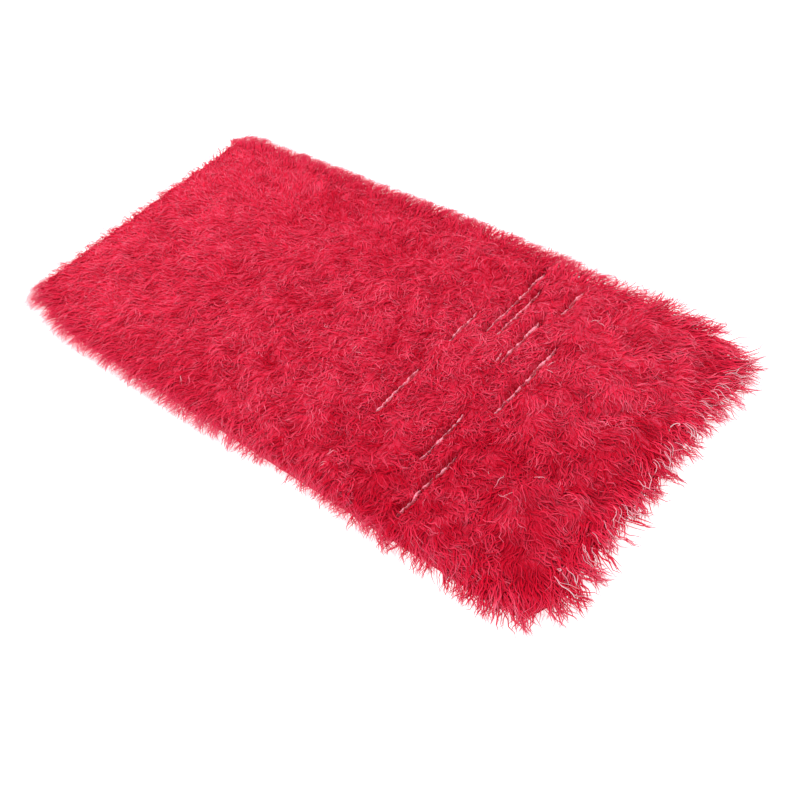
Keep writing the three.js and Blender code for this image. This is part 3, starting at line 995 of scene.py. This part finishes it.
# The undyed wool is painted pink, most at the root: painted light thrown back onto it from the red
# locks.
UNDYED = ((0.98, 0.3, 0.4), (0.99, 0.58, 0.64), (1, 0.88, 0.9))
PALE = wool("undyed wool", UNDYED, UNDYED, 0.4)

# %% [markdown]
# ## Laying the locks
# The pile's character changes along the rug: fine and short at the left, long, thick and curly at
# the right. A table gives it at six places, and what lies between is blended. Each piece of the
# pile scatters its roots, asks which way they are combed, and hands them to the nodes as bare
# points. The result is kept as a plain mesh.

# %% The character of the pile
CHARACTER = {
    "x": [-0.67, -0.3, 0.0, 0.25, 0.45, 0.67],
    "reach": [34, 34, 35, 37, 44, 50],
    "girth": [1.2, 1.2, 1.18, 1.18, 1.2, 1.2],
    "waving": [1.3, 1.9, 2.6, 2.9, 3.1, 3.2],
    "wave_length": [15, 15, 16, 18, 22, 24],
}


def character(name, x):
    """One of the pile's sizes at x, in metres."""
    return np.interp(x, CHARACTER["x"], CHARACTER[name]) * MM


# %% Laying the locks
LAID = {
    "girth": 1,
    "further": 0,
    "raised": 0,
    "tuft": 17 * MM,
    "pull": 0.5,
    "loose": 0.09,
    "turned": 0,
    "curl": 0,
    "wavy": 1,
}
FURTHEST = (745 * MM, 374 * MM)  # no tip reaches past this, along the rug and across it


def kept_short(lock):
    """Shortens the locks that would reach too far from the rug, and leaves out the few that still do."""
    for _ in range(6):
        beyond = np.zeros(lock["x"].shape, bool)
        for share in (0.7, 0.85, 1):
            x, y = path_of(lock, share)
            beyond |= (abs(x) > FURTHEST[0]) | (abs(y) > FURTHEST[1])
        lock["reach"] = np.where(beyond, 0.85, 1) * lock["reach"]
    return {name: values[~beyond] for name, values in lock.items()}


def lay_locks(name, x, y, material, slot_name, way=None, **sizes):
    """Grows one lock from each root, as one piece. Girths are shares of the usual one."""
    values = (sizes.pop(title, LAID[title]) for title in LAID)
    girth, further, raised, tuft, drawn, loose, turned, curl, wavy = values
    many = x.size
    usual, disagreeing = combed(x, y)
    way = usual + turned if way is None else way
    pull, shared = tufts(x, y, tuft)
    tint, own = shared.T
    ahead = pull[:, 0] * np.cos(way) + pull[:, 1] * np.sin(way)
    turning = 2 * math.pi / character("wave_length", x)
    felted = smoothstep(x, -0.32, 0) * (1 - smoothstep(x, 0.3, 0.6))
    felted = felted * smoothstep(inset_of(x, y), 0, 60 * MM)
    loose = loose + 0.06 * felted
    # Each tuft shares a tone, more so towards the right: partly the tufts' own tone and partly painted
    # shade of the tufts.
    tuft_tone_and_painted_shade = 0.35 + 0.45 * smoothstep(x, -0.4, 0.1)
    lock = {
        "x": x,
        "y": y,
        "heading": way + 0.8 * (tint - 0.5) + (loose + disagreeing) * CHANCE.standard_normal(many),
        "bend": curl + (1.3 + felted) * (own - 0.5) + 1.5 * loose * CHANCE.standard_normal(many),
        "reach": (character("reach", x) + further) * (0.64 + 0.4 * CHANCE.random(many) + 0.32 * own),
        "girth": girth * character("girth", x) * (0.6 + 0.65 * CHANCE.random(many)),
        "waving": wavy * character("waving", x) * (0.55 + 0.75 * CHANCE.random(many)),
        "turning": turning,
        "phase": 2 * math.pi * (tint + own) - turning * ahead + 0.35 * CHANCE.standard_normal(many),
        "held": raised + pile_height(x, y) * (1 - smoothstep(inset_of(x, y), 20 * MM, 50 * MM)),
        "tone": painted_paleness(x, y) + tuft_tone_and_painted_shade * (tint - 0.5) + 0.4 * (CHANCE.random(many) - 0.5),
        "pull_x": drawn * pull[:, 0],
        "pull_y": drawn * pull[:, 1],
    }
    lock = kept_short(off_the_partings(lock))
    start = bpy.data.meshes.new(name)
    roots = np.stack([lock.pop("x"), lock.pop("y"), np.zeros_like(lock["held"])], axis=-1)
    start.from_pydata(roots.tolist(), [], [])
    for title, values in lock.items():
        attribute = start.attributes.new(title, "FLOAT", "POINT")
        attribute.data.foreach_set("value", values.astype(np.float32))
    seedling = bpy.data.objects.new(name, start)
    bpy.context.collection.objects.link(seedling)
    growing = seedling.modifiers.new("locks", "NODES")
    growing.node_group = LOCKS
    inputs = {"Bed": bed, "Material": material, **sizes}
    for item in LOCKS.interface.items_tree:
        if item.item_type == "SOCKET" and item.in_out == "INPUT" and item.name in inputs:
            growing[item.identifier] = inputs[item.name]
    grown = seedling.evaluated_get(bpy.context.evaluated_depsgraph_get())
    mesh = bpy.data.meshes.new_from_object(grown)
    bpy.data.objects.remove(seedling)
    for title in ("root", "rise", "droop", *lock):
        if title != "tone" and title in mesh.attributes:
            mesh.attributes.remove(mesh.attributes[title])
    mesh.name = name
    piece = bpy.data.objects.new(name, mesh)
    bpy.context.collection.objects.link(piece)
    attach(piece, "root")
    triangles = sum(len(polygon.vertices) - 2 for polygon in mesh.polygons)
    print(f"{name}: {len(roots)} locks, {triangles} triangles")
    return piece


# %% [markdown]
# ## The pile, stretch by stretch
# The pile is cut into five pieces along the rug so that none grows too heavy, and the thick
# right-hand locks get more points than the short left-hand ones.
#
# The locks at the rim don't spill equally far everywhere. How much further than usual they reach is
# a table of a few places round the rim, in millimetres. It was set by comparing the rendered outline
# with the photograph's. On the near side one short stretch holds back, which makes the notch in the
# outline there.

# %% The pile, stretch by stretch
SPILL = [
    # place along, place across and how much further
    (-0.69, 0.12, -13),
    (-0.69, -0.10, -9),
    (-0.66, -0.25, -11),
    (-0.62, -0.31, 5),
    (-0.42, -0.34, 16),
    (-0.10, -0.35, 13),
    (0.125, -0.36, 12),
    (0.155, -0.36, -42),
    (0.185, -0.36, 6),
    (0.53, -0.34, 3),
    (0.66, -0.29, 7),
    (0.70, -0.10, -1),
    (0.70, 0.06, -9),
    (0.70, 0.25, 11),
    (0.53, 0.34, 7),
    (0.10, 0.35, 14),
    (-0.42, 0.35, 14),
    (-0.66, 0.33, 11),
]


def spill(x, y):
    """How much further locks at the rim reach, in metres. It fades away inside the rug."""
    total = np.zeros(x.shape)
    weights = np.zeros(x.shape)
    for place_x, place_y, further in SPILL:
        weight = 1 / ((x - place_x) ** 2 + (y - place_y) ** 2 + 0.0005) ** 1.5
        total += weight * further * MM
        weights += weight
    ragged = 11 * MM * unevenness(y, x, 9 * MM) * smoothstep(abs(x), 0.6, 0.66)
    return (total / weights + ragged) * (1 - smoothstep(inset_of(x, y), 0, 40 * MM))


STRETCHES = [
    # name, from, to, spacing, size of a tuft, lift and steps
    ("pile_left_end", -0.662, -0.44, 6.6, 10, 6, 6),
    ("pile_left_middle", -0.44, -0.2, 6.7, 11, 6, 6),
    ("pile_middle", -0.2, 0.08, 6.9, 13, 5, 7),
    ("pile_parted", 0.08, 0.38, 6.9, 16, 5, 7),
    ("pile_right_end", 0.38, 0.69, 7.2, 22, 5, 8),
]

for seed, (name, low_x, high_x, spacing, tuft, lift, steps) in enumerate(STRETCHES):
    x, y = scattered(spacing * MM, low_x, high_x, -10 * MM, 1)
    sizes = {"tuft": tuft * MM, "pull": 0.65, "Lift": lift * MM, "Steps": steps, "Seed": 10 + seed}
    lay_locks(name, x, y, CRIMSON, "red_wool_pile", further=spill(x, y), **sizes)

# %% [markdown]
# ## Beside the partings
# Where the rows lie apart, the nearest locks were pushed along the row, and they lie close to the
# bare cloth on both sides of it. Each parting gets its own locks, which lead along it.

# %% Beside the partings
beside_x, beside_y, beside_way = [], [], []
for row, start, end, width in PARTINGS:
    many = int(2 * (end - start + 16 * MM) / (4.2 * MM))
    side = np.where(CHANCE.random(many) < 0.62, -1, 1)
    along_row = start - 4 * MM + (end - start + 20 * MM) * CHANCE.random(many)
    beside_y.append(along_row)
    off = width * SLIT_SHARE / 2 + (1.5 + 13 * CHANCE.random(many)) * MM
    beside_x.append(row + side * off + stray(along_row))
    onward = np.where(np.sin(combed(beside_x[-1], along_row)[0]) > 0, 1, -1)
    lean = 0.1 + 0.35 * CHANCE.random(many)
    beside_way.append(onward * (math.pi / 2 - side * lean))
x, y, way = (np.concatenate(parts) for parts in (beside_x, beside_y, beside_way))
sizes = {"further": -2 * MM, "girth": 1.05, "tuft": 12 * MM, "Lift": 5 * MM, "Steps": 6, "Seed": 18}
lay_locks("pile_beside_partings", x, y, CRIMSON, "red_wool_pile", way=way, **sizes)

# %% [markdown]
# ## The rim
# At the rim the locks hang free and part into finer ones, so a band of thin locks is added there.
# Their tips are painted paler and pinker, which is painted light on the thin ends. Round them all
# stand single hairs, finer than any lock, and they blur the rug's outline into a pink haze. Along
# the near side they were swept to the right.

# %% The rim
RIMS = [
    # name, from, to, spacing, size of a tuft, girth, waves, raised, droop and seed
    ("rim_left_end", -0.662, -0.58, 4.1, 18, 0.62, 0.3, 5, 0.4, 24),
    ("rim_left", -0.58, 0.0, 4.6, 15, 0.62, 0.4, 4, 0.7, 21),
    ("rim_right", 0.0, 0.56, 4.8, 16, 0.7, 0.6, 3, 0.75, 22),
    ("rim_right_end", 0.56, 0.7, 4.2, 19, 0.95, 0.9, 2, 0.75, 23),
]

for name, low_x, high_x, spacing, tuft, girth, wavy, raised, droop, seed in RIMS:
    x, y = scattered(spacing * MM, low_x, high_x, -16 * MM, 26 * MM)
    kept = CHANCE.random(x.size) > 0.85 * smoothstep(inset_of(x, y), -6 * MM, 26 * MM)
    x, y = x[kept], y[kept]
    sizes = {"tuft": tuft * MM, "pull": 0.85, "loose": 0.08, "wavy": wavy, "girth": girth}
    sizes |= {"Lift": 6 * MM, "Droop": droop, "Steps": 6, "Seed": seed}
    sizes |= {"further": spill(x, y), "raised": raised * MM}
    lay_locks(name, x, y, CRIMSON_WITH_PAINTED_LIGHT_TIPS, "red_wool_pile", **sizes)

HAIRS = [
    # name, from, to, spacing, furthest inside, how much further and seed
    ("hairs_left_end", -0.662, -0.6, 2.6, 8, 17, 33),
    ("hairs_left", -0.6, 0.0, 2.9, 0, 8, 31),
    ("hairs_right", 0.0, 0.69, 3.3, 0, 4, 32),
]

for name, low_x, high_x, spacing, inside, more, seed in HAIRS:
    x, y = scattered(spacing * MM, low_x, high_x, -18 * MM, inside * MM)
    few = CHANCE.random(x.size) > 0.85 * smoothstep(x, 0.3, 0.62)
    x, y = x[few], y[few]
    swept = 0.6 * (1 - smoothstep(y, -0.32, -0.26)) * (1 - smoothstep(x, 0.1, 0.4))
    sizes = {"loose": 0.18, "Lift": 8 * MM, "Droop": 0.4, "Steps": 3, "Seed": seed, "girth": 0.3}
    further = spill(x, y) + more * MM
    raised = (6 - 4 * smoothstep(y, 0.1, 0.3)) * MM
    sizes |= {"turned": swept, "further": further, "raised": raised, "pull": 0.8, "wavy": 0.3}
    lay_locks(name, x, y, HAZE, "red_wool_pile", **sizes)

# %% [markdown]
# ## Warp ends
# At the right-hand end the undyed warp was cut and left to curl among the locks. The same nodes
# make those ends, in pale wool. They start at the cloth's closing edge and come out on top of the
# last locks. Two of them have curled into loops. A few wisps of the same wool, stained by the dye,
# have worked their way up through the pile.

# %% Warp ends
ends_low, ends_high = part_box("warp_ends")
END_GROUPS = [237, 213, 170, 135, 92, 29, 8, -40, -95, -150, -190, -248, -286]  # across, in mm
LOOPS = (80 * MM, -250 * MM)  # where the two loops are, across the rug
LOOP_START = 0.672
y = np.repeat(END_GROUPS, 8) * MM
y = np.clip(y + 11 * MM * CHANCE.standard_normal(y.size), ends_low.y, ends_high.y + 20 * MM)
x = HALF_LENGTH + (22 * CHANCE.random(y.size) + 3) * MM
curl = 0.5 * (CHANCE.random(y.size) - 0.5)
further = np.full(y.size, -16 * MM)
girth = np.full(y.size, 0.5)
raised = np.full(y.size, 16 * MM)
pull = np.full(y.size, 0.4)
for loop in LOOPS:
    number = np.argmin(abs(y - loop))
    x[number], y[number], curl[number], further[number] = LOOP_START, loop, 4.6, -36 * MM
    girth[number], raised[number], pull[number] = 1.1, 20 * MM, 0
sizes = {"tuft": 19 * MM, "pull": pull, "loose": 0.04, "Lift": 4 * MM, "Steps": 10, "Seed": 40}
sizes |= {"girth": girth, "further": further, "raised": raised, "curl": curl}
ends = lay_locks("warp_ends_curled", x, y, PALE, "pale_warp_yarn", **sizes)
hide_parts("warp_ends")

WISPS = [
    # place along, place across and direction in degrees
    (0.532, -0.132, 0),
    (0.404, 0.085, -10),
    (0.380, 0.116, 45),
    (0.504, -0.182, -40),
    (0.490, -0.180, 90),
    (-0.158, -0.180, -50),
    (-0.140, -0.318, 100),
    (0.221, -0.309, 90),
    (0.212, -0.282, 90),
    (0.084, 0.278, 90),
    (0.090, -0.079, 85),
    (0.445, 0.222, 80),
    (0.000, -0.060, 95),
]
x, y, degrees = (np.repeat(column, 2) for column in np.array(WISPS).T)
x = x + 3 * MM * CHANCE.standard_normal(x.size)
sizes = {"tuft": 9 * MM, "Lift": 7 * MM, "Steps": 7, "Seed": 44, "girth": 0.6, "further": -15 * MM}
lay_locks("pale_wisps", x, y, STAINED, "red_wool_pile", way=np.radians(degrees), **sizes)
